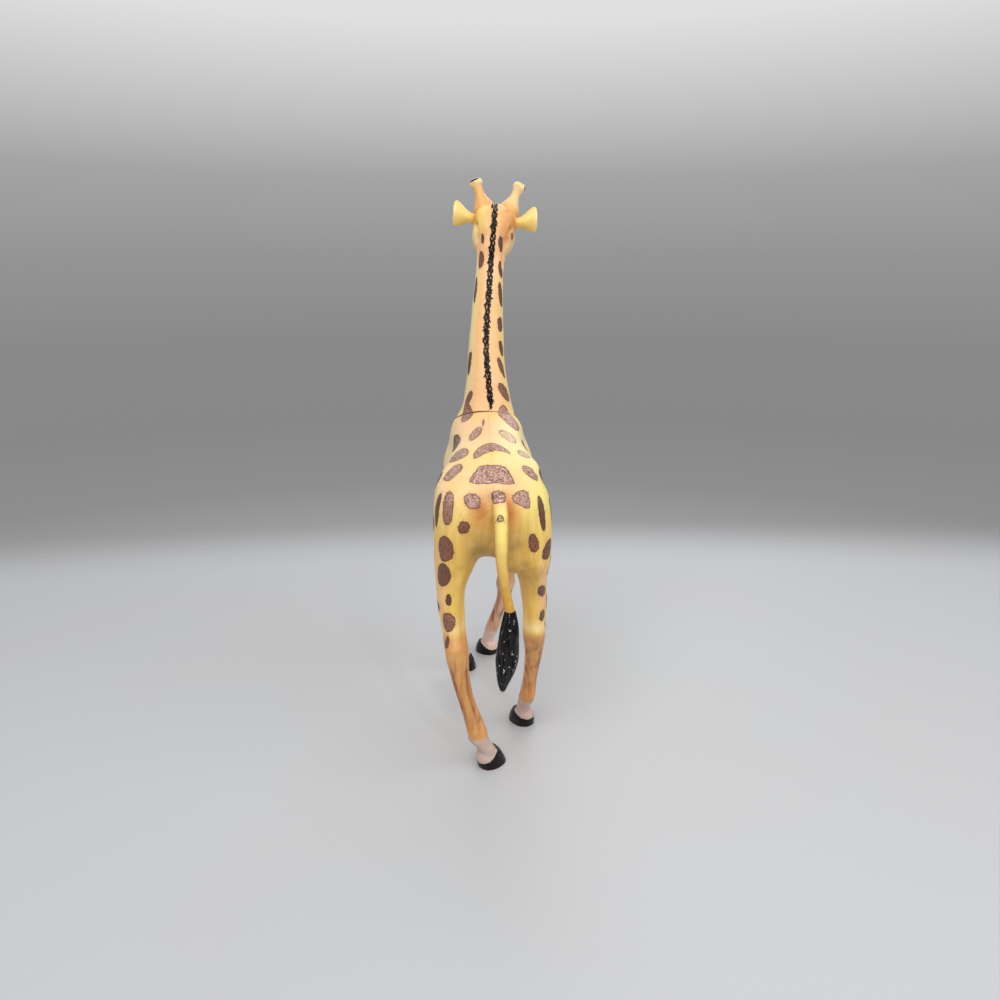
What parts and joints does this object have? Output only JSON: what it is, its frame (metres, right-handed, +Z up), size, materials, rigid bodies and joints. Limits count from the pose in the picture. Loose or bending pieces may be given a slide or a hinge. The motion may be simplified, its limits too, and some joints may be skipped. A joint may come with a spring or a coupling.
{
  "type": "toy giraffe figure",
  "caption": "Walking toy giraffe in soft plastic: hollow halved trunk, plugged legs, trapped tail, and a long neck that turns on a swivel.",
  "frame": {"origin": "on the floor under the middle of the figure's box", "axes": "+Z up, +Y the giraffe's front, +X its right"},
  "size_m": [0.0858, 0.2498, 0.4216],
  "materials": {
    "spotted_skin": "airbrushed yellow with brown spots, satin",
    "plain_skin": "airbrushed yellow to orange, satin",
    "leg_skin": "airbrushed yellow to orange brown, white pasterns, satin",
    "black_paint": "gloss black paint",
    "inner_plastic": "unpainted"
  },
  "bodies": {
    "trunk": {"torso_left_shell": "spotted_skin", "torso_right_shell": "spotted_skin", "tail": "spotted_skin", "tail_tuft": "black_paint", "hind_left_leg": "leg_skin", "hind_right_leg": "leg_skin", "front_left_leg": "leg_skin", "front_right_leg": "leg_skin", "hind_left_hoof": "black_paint", "hind_right_hoof": "black_paint", "front_left_hoof": "black_paint", "front_right_hoof": "black_paint"},
    "neck": {"neck_left_shell": "spotted_skin", "neck_right_shell": "spotted_skin", "neck_swivel": "inner_plastic", "mane": "black_paint", "head": "spotted_skin", "left_ear": "plain_skin", "right_ear": "plain_skin", "left_horn": "plain_skin", "right_horn": "plain_skin", "left_eye": "black_paint", "right_eye": "black_paint"}
  },
  "joints": [
    {"name": "neck_turn", "type": "hinge", "parent": "trunk", "child": "neck", "pos_m": [0, 0.03, 0.2315], "axis": [0, 0.4226, 0.9063], "continuous": true}
  ]
}
